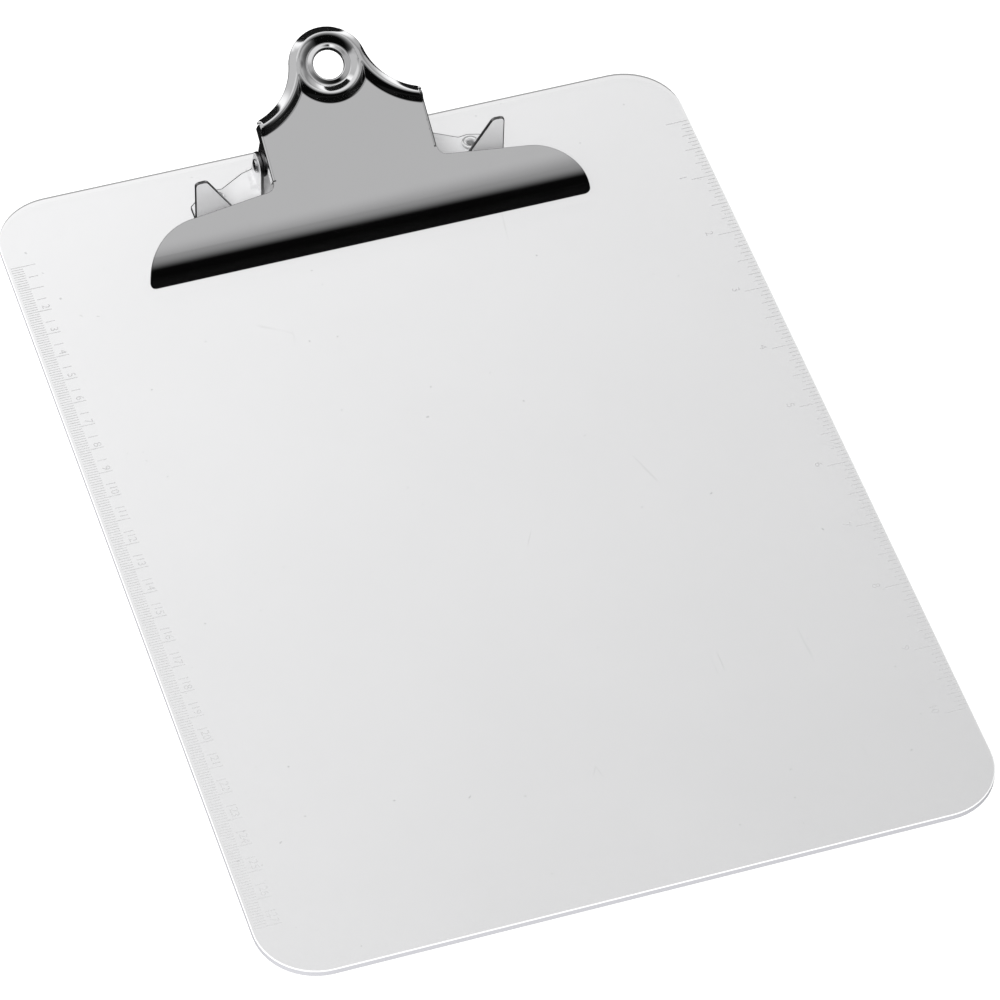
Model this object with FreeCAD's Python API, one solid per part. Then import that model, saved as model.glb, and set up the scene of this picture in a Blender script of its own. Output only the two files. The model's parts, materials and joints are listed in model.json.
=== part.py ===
"""Clear plastic clipboard with a chromed, spring-loaded sheet-steel clip.

Frame: millimetres, origin at the centre of the board's underside, +X right,
+Y towards the clip, +Z out of the writing face.
"""

import FreeCAD, Part
import math
import os

V = FreeCAD.Vector
TOLERANCE = 0.01
OVERCUT = 1.0

# ---- Board -----------------------------------------------------------------
BOARD_WIDTH = 228.6
BOARD_LENGTH = 317.5
BOARD_THICKNESS = 2.5
BOARD_CORNER_RADIUS = 19.05
BOARD_EDGE_ROUND = 0.4
RECESS_RADIUS = 4.3
RECESS_DEPTH = 0.9

# ---- Jaw plate: a flat plate that rolls over into a lip at its front ---------
SHEET = 1.0
PLATE_ANGLE = 28.5
PLATE_DATUM_Y = 116.0
PLATE_DATUM_HEIGHT = 9.5
LIP_RADIUS = 10.0
LIP_TANGENT_S = -0.78
LIP_TAIL = 0.28
JAW_HALF_WIDTH = 73.35
LIP_CORNER_RADIUS = 2.0
SHOULDER_START = (56.0, 8.8)
SHOULDER_SLOPE = 6.7
NECK_HALF_WIDTH = 27.3
NECK_TOP = (25.7, 35.9)
NECK_CORNER_DROP = 1.2
NECK_BEND_RADIUS = 0.8
RELIEF_RADIUS = 2.8
FLANGE_DEPTH = 4.5
FLANGE_FOOT_S = 15.2
FLANGE_HEAD_S = 34.2
BLANK_FRONT_S = -40.0
BLANK_TOP = 5.0
BLANK_DEPTH = 40.0

# ---- Hanging ring at the end of the neck --------------------------------------
RING_S = 48.6
RING_RADIUS = 12.75
HOLE_RADIUS = 4.95
SWEEP_RADIUS = 21.0
BEAD_HEIGHT = 2.1
BEAD_CREST = 2.65
BEAD_WIDTH = 5.2
BEAD_OUTER_BULGE = (0.32, 0.72)
BEAD_INNER_BULGE = 0.14
BEAD_OVERRUN = 8.0
COLLAR_HEIGHT = 1.1
COLLAR_ROUND = 0.35

# ---- Pivot --------------------------------------------------------------------
PIVOT_Y = 143.0
PIVOT_HEIGHT = 10.5
ROD_RADIUS = 1.5
ROD_CLEARANCE = 0.05
ROD_HEAD_RADIUS = 2.3
ROD_HEAD_LENGTH = 0.9
ROD_HEAD_ROUND = 0.45
PLAY = 0.2
EAR_RADIUS = 4.0
EAR_FLARE = 1.5

# ---- Base plate ----------------------------------------------------------------
# Right half of the flat outline, from the tongue's front round to its rear.
STOP_Y = 134.0
STOP_OUTER_X = 51.5
WING_CORNERS = [(31.5, STOP_Y), (STOP_OUTER_X, 140.4), (46.6, 144.6), (43.0, 145.6)]
WING_CORNER_RADIUS = 1.2
BASE_OUTLINE = [
    (0, 121.5), (29.0, 121.5), (31.5, 124.0), WING_CORNERS[0], (STOP_OUTER_X, STOP_Y),
    *WING_CORNERS[1:], (39.8, 145.2), (31.8, 149.9), (27.0, 151.3), (0, 151.3),
]
# Outline of a paper stop: across, and height above the board.
STOP_OUTLINE = [
    (37.0, 0.5), (STOP_OUTER_X, 0.5), (STOP_OUTER_X, 15.2), (STOP_OUTER_X - 1.0, 16.0),
    (48.9, 17.9), (47.1, 17.0), (44.0, 12.0), (40.2, 5.4), (38.4, 2.2),
]
STOP_TIP = (48.7, 16.0)
STOP_TIP_RADIUS = 1.9
LUG_RADIUS = 4.5
LUG_REAR_Y = 151.0
LUG_REAR_KNEE = (149.6, 3.0)
LUG_REAR_ANGLE = 29.4

# ---- Rivets --------------------------------------------------------------------
RIVET_X = 42.7
RIVET_Y = 141.3
RIVET_SHANK_RADIUS = 2.0
RIVET_FIT = 0.02
RIVET_BORE_RADIUS = 1.2
RIVET_ROLL_RADIUS = 3.0
RIVET_ROLL_HEIGHT = 0.9
RIVET_ROLL_EASE = 0.2
RIVET_CHAMFER = 0.3
RIVET_HEAD_RADIUS = 4.0
RIVET_HEAD_HEIGHT = 0.8

# ---- Torsion spring --------------------------------------------------------------
WIRE_RADIUS = 0.9
COIL_RADIUS = 3.5
COIL_PITCH = 1.86
COIL_TURNS = 4
COIL_INNER_X = 13.5
BRIDGE_Y = 153.0
BRIDGE_BEND = 2.6
JOINT_SWELL = 0.04
LEG_END_Y = 150.0

# ---- Derived places ----------------------------------------------------------------
BOARD_TOP = BOARD_THICKNESS
PLATE_BASE = V(0, PLATE_DATUM_Y, BOARD_TOP + PLATE_DATUM_HEIGHT)
PLATE_PLACEMENT = FreeCAD.Placement(PLATE_BASE, FreeCAD.Rotation(V(1, 0, 0), PLATE_ANGLE))
PIVOT = V(0, PIVOT_Y, BOARD_TOP + PIVOT_HEIGHT)
RUNNING_BORE = ROD_RADIUS + ROD_CLEARANCE
EAR_OUTER_X = NECK_HALF_WIDTH
LUG_INNER_X = EAR_OUTER_X + PLAY
LUG_OUTER_X = LUG_INNER_X + SHEET


def prism(points, direction):
    """Straight-edged outline, extruded."""
    wire = Part.makePolygon(points + points[:1])
    return Part.Face(wire).extrude(direction)


def cylinder_along(axis, start, radius, length):
    """Cylinder from a start point along an axis."""
    return Part.makeCylinder(radius, length, start, axis)


def mirrored(shape):
    """The same shape on the other side of the clip's centre plane."""
    return shape.mirror(V(0, 0, 0), V(1, 0, 0))


def pair(shape):
    """The shape and its mirror image, as one compound."""
    return Part.makeCompound([shape, mirrored(shape)])


def joined_halves(half):
    """Half of a symmetric solid, made whole."""
    return half.fuse(mirrored(half)).removeSplitter()


def vertical_edges_at(shape, corners):
    """Edges parallel to Z that stand on the given (x, y) corners."""
    found = []
    for edge in shape.Edges:
        ends = [vertex.Point for vertex in edge.Vertexes]
        if len(ends) != 2 or abs(ends[0].z - ends[1].z) < TOLERANCE:
            continue
        for x, y in corners:
            if all(math.hypot(p.x - x, p.y - y) < TOLERANCE for p in ends):
                found.append(edge)
    return found


def pivot_point(radius, degrees, x=0.0):
    """Point on a circle round the pivot axis; 0 degrees is +Y, 90 is +Z."""
    angle = math.radians(degrees)
    return PIVOT + V(x, radius * math.cos(angle), radius * math.sin(angle))


# ---- Board ---------------------------------------------------------------------------
def make_board():
    """Flat sheet with round corners, eased rims, and a recess under each rivet hole."""
    slab = Part.makeBox(BOARD_WIDTH, BOARD_LENGTH, BOARD_THICKNESS,
                        V(-BOARD_WIDTH / 2, -BOARD_LENGTH / 2, 0))
    corners = [(x, y) for x in (-BOARD_WIDTH / 2, BOARD_WIDTH / 2)
               for y in (-BOARD_LENGTH / 2, BOARD_LENGTH / 2)]
    slab = slab.makeFillet(BOARD_CORNER_RADIUS, vertical_edges_at(slab, corners))
    rims = [edge for edge in slab.Edges if edge.BoundBox.ZLength < TOLERANCE]
    slab = slab.makeFillet(BOARD_EDGE_ROUND, rims)
    recess = Part.makeCylinder(RECESS_RADIUS, RECESS_DEPTH, V(RIVET_X, RIVET_Y, 0))
    return slab.cut([rivet_holes(), recess, mirrored(recess)])


def rivet_holes():
    """Two holes that pass the rivet shanks through board and base plate."""
    start = V(RIVET_X, RIVET_Y, -OVERCUT)
    length = BOARD_THICKNESS + SHEET + 2 * OVERCUT
    hole = Part.makeCylinder(RIVET_SHANK_RADIUS + RIVET_FIT, length, start)
    return hole.fuse(mirrored(hole))


# ---- Jaw plate -------------------------------------------------------------------------
def sweep_centre():
    """Centre of the concave neck curve: tangent to the ring, through the neck's top corner."""
    reach = RING_RADIUS + SWEEP_RADIUS
    to_corner = V(NECK_TOP[0], NECK_TOP[1] - RING_S, 0)
    span = to_corner.Length
    along = (reach ** 2 - SWEEP_RADIUS ** 2 + span ** 2) / (2 * span)
    across = math.sqrt(reach ** 2 - along ** 2)
    unit = to_corner / span
    return V(0, RING_S, 0) + unit * along + V(-unit.y, unit.x, 0) * across


def arc_about(centre, radius, start, end, clockwise):
    """Arc between two points of a circle; start and end are vectors."""
    first = math.atan2(start.y - centre.y, start.x - centre.x)
    last = math.atan2(end.y - centre.y, end.x - centre.x)
    if clockwise and last > first:
        last -= 2 * math.pi
    if not clockwise and last < first:
        last += 2 * math.pi
    middle = (first + last) / 2
    through = centre + V(radius * math.cos(middle), radius * math.sin(middle), 0)
    return Part.Arc(start, through, end).toShape()


def jaw_outline():
    """Half outline in the plate's own plane, closed down the centre line."""
    slope = math.radians(SHOULDER_SLOPE)
    shoulder = V(SHOULDER_START[0], SHOULDER_START[1], 0)
    radius = (JAW_HALF_WIDTH - shoulder.x) / (1 - math.sin(slope))
    centre = shoulder - V(math.sin(slope), math.cos(slope), 0) * radius
    widest = centre + V(radius, 0, 0)
    rise = (shoulder.x - NECK_HALF_WIDTH) * math.tan(slope)
    neck_foot = V(NECK_HALF_WIDTH, SHOULDER_START[1] + rise, 0)
    neck_top = V(NECK_TOP[0], NECK_TOP[1], 0)
    neck_side = V(NECK_HALF_WIDTH, NECK_TOP[1] - NECK_CORNER_DROP, 0)
    sweep = sweep_centre()
    ring = V(0, RING_S, 0)
    tangent = ring + (sweep - ring) * (RING_RADIUS / (sweep - ring).Length)
    crown = ring + V(0, RING_RADIUS, 0)
    front = V(0, BLANK_FRONT_S, 0)
    corner = V(JAW_HALF_WIDTH, BLANK_FRONT_S, 0)
    edges = [
        Part.makeLine(front, corner),
        Part.makeLine(corner, widest),
        arc_about(centre, radius, widest, shoulder, False),
        Part.makeLine(shoulder, neck_foot),
        Part.makeLine(neck_foot, neck_side),
        Part.makeLine(neck_side, neck_top),
        arc_about(sweep, SWEEP_RADIUS, neck_top, tangent, True),
        arc_about(ring, RING_RADIUS, tangent, crown, False),
        Part.makeLine(crown, front),
    ]
    return Part.Wire(edges), neck_foot


def jaw_blank():
    """Prism through plate and lip with the clip's full front outline."""
    wire, neck_foot = jaw_outline()
    half = Part.Face(wire).extrude(V(0, 0, BLANK_DEPTH))
    half.translate(V(0, 0, BLANK_TOP - BLANK_DEPTH))
    half = half.makeFillet(RELIEF_RADIUS, vertical_edges_at(half, [(neck_foot.x, neck_foot.y)]))
    return joined_halves(half)


def bent_sheet():
    """Flat plate and rolled lip as one sheet, in the plate's own frame."""
    turn = 90.0 - PLATE_ANGLE
    end = V(0, RING_S + RING_RADIUS + OVERCUT, 0)
    start = V(0, LIP_TANGENT_S, 0)
    centre = start - V(0, 0, LIP_RADIUS)
    down = V(0, -math.cos(math.radians(turn)), -math.sin(math.radians(turn)))

    def lip_point(radius, degrees):
        angle = math.radians(degrees)
        return centre + V(0, -radius * math.sin(angle), radius * math.cos(angle))

    inner = LIP_RADIUS - SHEET
    outer_end = lip_point(LIP_RADIUS, turn)
    inner_end = lip_point(inner, turn)
    edges = [
        Part.makeLine(end, start),
        Part.Arc(start, lip_point(LIP_RADIUS, turn / 2), outer_end).toShape(),
        Part.makeLine(outer_end, outer_end + down * LIP_TAIL),
        Part.makeLine(outer_end + down * LIP_TAIL, inner_end + down * LIP_TAIL),
        Part.makeLine(inner_end + down * LIP_TAIL, inner_end),
        Part.Arc(inner_end, lip_point(inner, turn / 2), start - V(0, 0, SHEET)).toShape(),
        Part.makeLine(start - V(0, 0, SHEET), end - V(0, 0, SHEET)),
        Part.makeLine(end - V(0, 0, SHEET), end),
    ]
    sheet = Part.Face(Part.Wire(edges)).extrude(V(2 * (JAW_HALF_WIDTH + OVERCUT), 0, 0))
    sheet.translate(V(-JAW_HALF_WIDTH - OVERCUT, 0, 0))
    return sheet


def bead_profile(edge_radius, inward):
    """Cross-section of the raised bead; inward is +1 or -1 along the radius."""
    def at(distance, height):
        return V(edge_radius + inward * distance, 0, height)

    crest = at(BEAD_CREST, BEAD_HEIGHT)
    middle = (BEAD_CREST + BEAD_WIDTH) / 2
    half_way = at(middle, BEAD_HEIGHT / 2)
    quarter = (BEAD_WIDTH - BEAD_CREST) / 4
    outer_bulge = at(BEAD_OUTER_BULGE[0] * BEAD_CREST, BEAD_OUTER_BULGE[1] * BEAD_HEIGHT)
    upper_bulge = at(BEAD_CREST + quarter, (1 - BEAD_INNER_BULGE) * BEAD_HEIGHT)
    lower_bulge = at(BEAD_WIDTH - quarter, BEAD_INNER_BULGE * BEAD_HEIGHT)
    edges = [
        Part.makeLine(at(0, -SHEET / 2), at(0, 0)),
        Part.Arc(at(0, 0), outer_bulge, crest).toShape(),
        Part.Arc(crest, upper_bulge, half_way).toShape(),
        Part.Arc(half_way, lower_bulge, at(BEAD_WIDTH, 0)).toShape(),
        Part.makeLine(at(BEAD_WIDTH, 0), at(BEAD_WIDTH, -SHEET / 2)),
        Part.makeLine(at(BEAD_WIDTH, -SHEET / 2), at(0, -SHEET / 2)),
    ]
    return Part.Face(Part.Wire(edges))


def ring_bead():
    """Bead all round the hanging ring."""
    bead = bead_profile(RING_RADIUS, -1).revolve(V(0, 0, 0), V(0, 0, 1), 360)
    bead.translate(V(0, RING_S, 0))
    return bead


def hole_collar():
    """Low cone that rises from the ring's valley to a rounded rim at the hole."""
    foot = V(RING_RADIUS - BEAD_WIDTH, 0, 0)
    shoulder = V(HOLE_RADIUS + COLLAR_ROUND, 0, COLLAR_HEIGHT)
    rim = V(HOLE_RADIUS, 0, COLLAR_HEIGHT - COLLAR_ROUND)
    bulge = COLLAR_ROUND * (1 - math.sqrt(0.5))
    over = V(HOLE_RADIUS + bulge, 0, COLLAR_HEIGHT - bulge)
    below = V(0, 0, -SHEET / 2)
    edges = [
        Part.makeLine(foot, shoulder),
        Part.Arc(shoulder, over, rim).toShape(),
        Part.makeLine(rim, V(HOLE_RADIUS, 0, 0) + below),
        Part.makeLine(V(HOLE_RADIUS, 0, 0) + below, foot + below),
        Part.makeLine(foot + below, foot),
    ]
    collar = Part.Face(Part.Wire(edges)).revolve(V(0, 0, 0), V(0, 0, 1), 360)
    collar.translate(V(0, RING_S, 0))
    return collar


def sweep_bead():
    """Bead along one concave side of the neck, from its corner to the ring."""
    centre = sweep_centre()
    to_corner = math.degrees(math.atan2(NECK_TOP[1] - centre.y, NECK_TOP[0] - centre.x))
    to_ring = math.degrees(math.atan2(RING_S - centre.y, -centre.x))
    bead = bead_profile(SWEEP_RADIUS, 1)
    bead = bead.revolve(V(0, 0, 0), V(0, 0, 1), (to_corner - to_ring) % 360 + BEAD_OVERRUN)
    bead.rotate(V(0, 0, 0), V(0, 0, 1), to_ring)
    bead.translate(centre)
    return bead


def neck_flange():
    """Side of the neck, bent down square to the plate."""
    return Part.makeBox(SHEET, FLANGE_HEAD_S - FLANGE_FOOT_S, FLANGE_DEPTH,
                        V(NECK_HALF_WIDTH - SHEET, FLANGE_FOOT_S, -FLANGE_DEPTH))


def pivot_ear():
    """Leaf that carries the rod hole, hanging from the neck flange."""
    pivot = PLATE_PLACEMENT.inverse().multVec(PIVOT)
    x = EAR_OUTER_X - SHEET
    hub_start = V(x, pivot.y, pivot.z)
    hub = cylinder_along(V(1, 0, 0), hub_start, EAR_RADIUS, SHEET)
    root = EAR_RADIUS + EAR_FLARE
    web = prism([
        V(x, pivot.y - EAR_RADIUS, pivot.z),
        V(x, pivot.y + EAR_RADIUS, pivot.z),
        V(x, pivot.y + root, -FLANGE_DEPTH),
        V(x, pivot.y + root, -SHEET),
        V(x, pivot.y - root, -SHEET),
        V(x, pivot.y - root, -FLANGE_DEPTH),
    ], V(SHEET, 0, 0))
    bore_start = hub_start - V(OVERCUT, 0, 0)
    bore = cylinder_along(V(1, 0, 0), bore_start, RUNNING_BORE, SHEET + 2 * OVERCUT)
    return web.fuse(hub).cut(bore)


def lip_corner_cutter():
    """Removes the sharp bottom corner of the lip; works in the board's frame."""
    radius = LIP_CORNER_RADIUS
    corner = V(JAW_HALF_WIDTH - radius, PLATE_DATUM_Y - LIP_RADIUS, BOARD_TOP - OVERCUT)
    block = Part.makeBox(radius + OVERCUT, LIP_RADIUS + OVERCUT, radius + OVERCUT, corner)
    middle = corner + V(0, -OVERCUT, radius + OVERCUT)
    return block.cut(cylinder_along(V(0, 1, 0), middle, radius, LIP_RADIUS + 3 * OVERCUT))


def round_neck_bends(plate):
    """Rounds the long edges where the neck flanges turn down from the plate."""
    bends = []
    for edge in plate.Edges:
        ends = [vertex.Point for vertex in edge.Vertexes]
        on_bend = all(abs(abs(p.x) - NECK_HALF_WIDTH) < TOLERANCE and abs(p.z) < TOLERANCE
                      for p in ends)
        if on_bend and edge.Length > FLANGE_DEPTH:
            bends.append(edge)
    return plate.makeFillet(NECK_BEND_RADIUS, bends)


def make_jaw_plate():
    """Jaw, neck, flanges, ears and hanging ring: one pressed and bent sheet."""
    blank = jaw_blank()
    plate = bent_sheet().common(blank)
    plate = plate.fuse(pair(neck_flange())).removeSplitter()
    plate = round_neck_bends(plate)
    hole = Part.makeCylinder(HOLE_RADIUS, 2 * BEAD_WIDTH, V(0, RING_S, -BEAD_WIDTH))
    sweeps = pair(sweep_bead()).common(blank)
    ring = ring_bead().fuse(hole_collar())
    plate = plate.cut(hole).fuse([ring, sweeps, pair(pivot_ear())])
    plate = plate.removeSplitter()
    plate.Placement = PLATE_PLACEMENT
    corner = lip_corner_cutter()
    return plate.cut([corner, mirrored(corner)])


# ---- Base plate -----------------------------------------------------------------------
def base_sheet():
    """Flat part of the base plate, with its rear corners rounded."""
    points = [V(x, y, BOARD_TOP) for x, y in BASE_OUTLINE]
    half = prism(points, V(0, 0, SHEET))
    half = half.makeFillet(WING_CORNER_RADIUS, vertical_edges_at(half, WING_CORNERS))
    return joined_halves(half)


def paper_stop():
    """Upright tab with a rounded tip that stops the top edge of the paper."""
    body = prism([V(x, STOP_Y, BOARD_TOP + height) for x, height in STOP_OUTLINE], V(0, SHEET, 0))
    tip = V(STOP_TIP[0], STOP_Y, BOARD_TOP + STOP_TIP[1])
    crown = cylinder_along(V(0, 1, 0), tip, STOP_TIP_RADIUS, SHEET)
    return body.fuse(crown).removeSplitter()


def pivot_lug():
    """Upright cheek that holds one end of the pivot rod."""
    x = LUG_INNER_X
    hub = cylinder_along(V(1, 0, 0), PIVOT + V(x, 0, 0), LUG_RADIUS, SHEET)
    foot = BOARD_TOP + SHEET / 2
    cheek = prism([
        V(x, PIVOT_Y - LUG_RADIUS, foot),
        V(x, LUG_REAR_Y, foot),
        V(x, LUG_REAR_KNEE[0], BOARD_TOP + LUG_REAR_KNEE[1]),
        pivot_point(LUG_RADIUS - TOLERANCE, LUG_REAR_ANGLE, x),
        V(x, PIVOT_Y - LUG_RADIUS, PIVOT.z),
    ], V(SHEET, 0, 0))
    bore_start = PIVOT + V(x - OVERCUT, 0, 0)
    bore = cylinder_along(V(1, 0, 0), bore_start, RUNNING_BORE, SHEET + 2 * OVERCUT)
    return cheek.fuse(hub).removeSplitter().cut(bore)


def make_base_plate():
    """Flat sheet under the clip with two paper stops and two pivot lugs bent up from it."""
    plate = base_sheet().cut(rivet_holes())
    return plate.fuse([pair(paper_stop()), pair(pivot_lug())]).removeSplitter()


# ---- Pivot rod ---------------------------------------------------------------------------
def make_pivot_rod():
    """Rod through lugs and ears, with an upset head outside each lug."""
    half_length = LUG_OUTER_X + ROD_CLEARANCE
    axis = V(1, 0, 0)
    rod = cylinder_along(axis, PIVOT - axis * half_length, ROD_RADIUS, 2 * half_length)
    head = cylinder_along(axis, PIVOT + axis * half_length, ROD_HEAD_RADIUS, ROD_HEAD_LENGTH)
    outer_x = half_length + ROD_HEAD_LENGTH
    rims = [edge for edge in head.Edges if abs(edge.BoundBox.XMin - outer_x) < TOLERANCE]
    head = head.makeFillet(ROD_HEAD_ROUND, rims)
    return rod.fuse([head, mirrored(head)])


# ---- Torsion spring ------------------------------------------------------------------------
def tangent_angle(target_y, target_z):
    """Heading from the pivot to a target, and the swing from it to a tangent of the coil."""
    reach = math.hypot(target_y - PIVOT.y, target_z - PIVOT.z)
    heading = math.degrees(math.atan2(target_z - PIVOT.z, target_y - PIVOT.y))
    return heading, math.degrees(math.acos(COIL_RADIUS / reach))


def plate_underside(y):
    """Height of the jaw plate's lower face above the frame's origin plane."""
    tilt = math.radians(PLATE_ANGLE)
    drop = SHEET / math.cos(tilt)
    return BOARD_TOP + PLATE_DATUM_HEIGHT + (y - PLATE_DATUM_Y) * math.tan(tilt) - drop


def wire_section(centre, direction):
    """Round section of the spring wire, square to a direction."""
    circle = Part.Circle(centre, direction, WIRE_RADIUS)
    return Part.Wire([circle.toShape()])


def spring_coil(first_angle, last_angle):
    """Right-hand coil from the inner end outwards, round the pivot rod."""
    turns = COIL_TURNS + ((last_angle - first_angle) % 360) / 360
    helix = Part.makeHelix(COIL_PITCH, COIL_PITCH * turns, COIL_RADIUS)
    start = V(COIL_RADIUS, 0, 0)
    climb = V(0, 2 * math.pi * COIL_RADIUS, COIL_PITCH)
    coil = Part.Wire(helix.Edges).makePipeShell([wire_section(start, climb)], True, True)
    coil.rotate(V(0, 0, 0), V(0, 1, 0), 90)
    coil.rotate(V(0, 0, 0), V(1, 0, 0), first_angle + 90)
    coil.translate(PIVOT + V(COIL_INNER_X, 0, 0))
    return coil, COIL_INNER_X + COIL_PITCH * turns


def round_wire(points, bend_radius):
    """Wire of round section along straight runs, with an arc at each inner point."""
    edges = []
    start = points[0]
    for before, corner, after in zip(points, points[1:], points[2:]):
        incoming = (before - corner).normalize()
        outgoing = (after - corner).normalize()
        half_angle = incoming.getAngle(outgoing) / 2
        cut = bend_radius / math.tan(half_angle)
        middle = (incoming + outgoing).normalize()
        depth = bend_radius / math.sin(half_angle) - bend_radius
        edges.append(Part.makeLine(start, corner + incoming * cut))
        edges.append(Part.Arc(corner + incoming * cut, corner + middle * depth,
                              corner + outgoing * cut).toShape())
        start = corner + outgoing * cut
    edges.append(Part.makeLine(start, points[-1]))
    section = wire_section(points[0], points[1] - points[0])
    return Part.Wire(edges).makePipeShell([section], True, False)


def spring_bridge(arm_start, knee):
    """Two arms and the bar between them, which pushes up under the neck."""
    other_side = [V(-p.x, p.y, p.z) for p in (knee, arm_start)]
    return round_wire([arm_start, knee] + other_side, BRIDGE_BEND)


def make_torsion_spring():
    """Two coils on the rod, a leg from each, and the bridge between their arms."""
    reach = WIRE_RADIUS + ROD_CLEARANCE
    knee_height = plate_underside(BRIDGE_Y) - reach / math.cos(math.radians(PLATE_ANGLE))
    knee = V(COIL_INNER_X, BRIDGE_Y, knee_height)
    toe = V(0, LEG_END_Y, BOARD_TOP + SHEET + reach)
    heading, swing = tangent_angle(knee.y, knee.z)
    arm_angle = heading + swing
    heading, swing = tangent_angle(toe.y, toe.z)
    leg_angle = heading - swing
    coil, outer_x = spring_coil(arm_angle, leg_angle)
    toe.x = outer_x
    arm_start = pivot_point(COIL_RADIUS, arm_angle, COIL_INNER_X)
    leg_start = pivot_point(COIL_RADIUS, leg_angle, outer_x)
    leg = Part.makeCylinder(WIRE_RADIUS, (toe - leg_start).Length, leg_start, toe - leg_start)
    joints = [Part.makeSphere(WIRE_RADIUS + JOINT_SWELL, end) for end in (arm_start, leg_start)]
    side = coil.fuse([leg] + joints)
    return side.fuse([mirrored(side), spring_bridge(arm_start, knee)])


# ---- Rivets -----------------------------------------------------------------------------
def make_rivet():
    """Tubular rivet: flat head in the board's recess, rolled end on the base plate."""
    top = BOARD_TOP + SHEET
    face = RECESS_DEPTH - RIVET_HEAD_HEIGHT
    profile = [
        (RIVET_BORE_RADIUS, face), (RIVET_HEAD_RADIUS - RIVET_CHAMFER, face),
        (RIVET_HEAD_RADIUS, face + RIVET_CHAMFER), (RIVET_HEAD_RADIUS, RECESS_DEPTH),
        (RIVET_SHANK_RADIUS, RECESS_DEPTH), (RIVET_SHANK_RADIUS, top),
        (RIVET_ROLL_RADIUS - RIVET_ROLL_EASE, top), (RIVET_ROLL_RADIUS, top + RIVET_CHAMFER),
    ]
    points = [V(r, 0, z) for r, z in profile]
    roll_top = V((RIVET_ROLL_RADIUS + RIVET_BORE_RADIUS) / 2, 0, top + RIVET_ROLL_HEIGHT)
    mouth = V(RIVET_BORE_RADIUS, 0, top - RIVET_ROLL_EASE)
    edges = [Part.makeLine(a, b) for a, b in zip(points, points[1:])]
    edges.append(Part.Arc(points[-1], roll_top, mouth).toShape())
    edges.append(Part.makeLine(mouth, points[0]))
    rivet = Part.Face(Part.Wire(edges)).revolve(V(0, 0, 0), V(0, 0, 1), 360)
    rivet.translate(V(RIVET_X, RIVET_Y, 0))
    return rivet


def main():
    rivet = make_rivet()
    nodes = {
        "board": make_board(),
        "jaw_plate": make_jaw_plate(),
        "base_plate": make_base_plate(),
        "pivot_rod": make_pivot_rod(),
        "torsion_spring": make_torsion_spring(),
        "rivet_right": rivet,
        "rivet_left": mirrored(rivet),
    }
    os.makedirs("parts", exist_ok=True)
    for name, shape in nodes.items():
        print(name, "solids:", len(shape.Solids), "valid:", shape.isValid(), "mm3:", round(shape.Volume, 1))
        shape.exportStep("parts/" + name + ".step")


main()
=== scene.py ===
import json
import math

import bpy
import numpy as np
from mathutils import Matrix, Vector
from mathutils.geometry import delaunay_2d_cdt


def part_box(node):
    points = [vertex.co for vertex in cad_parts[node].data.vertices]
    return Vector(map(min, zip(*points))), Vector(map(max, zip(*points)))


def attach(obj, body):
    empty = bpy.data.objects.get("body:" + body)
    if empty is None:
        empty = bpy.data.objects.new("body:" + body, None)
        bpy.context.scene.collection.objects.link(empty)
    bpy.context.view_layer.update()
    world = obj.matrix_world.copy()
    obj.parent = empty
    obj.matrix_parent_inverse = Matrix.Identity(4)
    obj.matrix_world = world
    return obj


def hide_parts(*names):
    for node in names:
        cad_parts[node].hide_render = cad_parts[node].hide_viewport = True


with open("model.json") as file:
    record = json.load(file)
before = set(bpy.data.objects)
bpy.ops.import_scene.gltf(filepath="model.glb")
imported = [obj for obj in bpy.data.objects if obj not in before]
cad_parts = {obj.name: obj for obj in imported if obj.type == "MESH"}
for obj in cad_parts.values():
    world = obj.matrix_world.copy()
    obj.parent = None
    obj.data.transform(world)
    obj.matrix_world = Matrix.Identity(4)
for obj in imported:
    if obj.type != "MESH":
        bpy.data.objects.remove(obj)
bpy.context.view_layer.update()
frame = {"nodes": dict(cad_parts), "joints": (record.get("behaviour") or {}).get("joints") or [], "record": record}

# Lengths are in millimetres; meshes are written in metres.
MM = 0.001

# ---- Jaw plate: u across, s up the plate (both along the unrolled sheet), h off it -------
SHEET = 1.0
CUT_EDGE = (0.12, 0.12)
RING_S = 48.6
RING_RADIUS = 12.75
HOLE_RADIUS = 4.95
SWEEP_RADIUS = 21.0
NECK_X = 27.3
NECK_TOP = (25.7, 35.9)
NECK_CORNER = (0.9, 0.35)
NECK_CORNER_DROP = 0.6
SHOULDER = (56.0, 8.8)
SHOULDER_SLOPE = math.radians(6.7)
SHOULDER_START = math.asin(0.11)
RELIEF_RADIUS = 2.8
LIP_START = 4.5
LIP_EASE = 5.28
EASE_TURN = math.radians(4.0)
LIP_RADIUS = 11.45
LIP_LENGTH = 16.0
LIP_CORNER = 2.0
FLANGE_START = 15.2
FLANGE_END = 34.2
FLANGE_DEPTH = 4.5
NOTCH = 0.25
BEND = 1.0
EAR_RADIUS = 4.0
EAR_SPREAD = 1.5
BEAD_HEIGHT = 2.05
BEAD_CREST = 2.7
BEAD_SLOPE = 1.1
CREST_ROUND = 0.9
FOOT_ROUND = 0.35
RING_FALL = 0.7
BEAD_FOOT = 5.7
BEAD_FADE = 0.3
BEAD_END = (1.5, 0.15)
RING_OPEN = 0.12
COLLAR_FOOT = 8.0
COLLAR_HEIGHT = 1.1
COLLAR_RIM = 0.6

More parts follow.
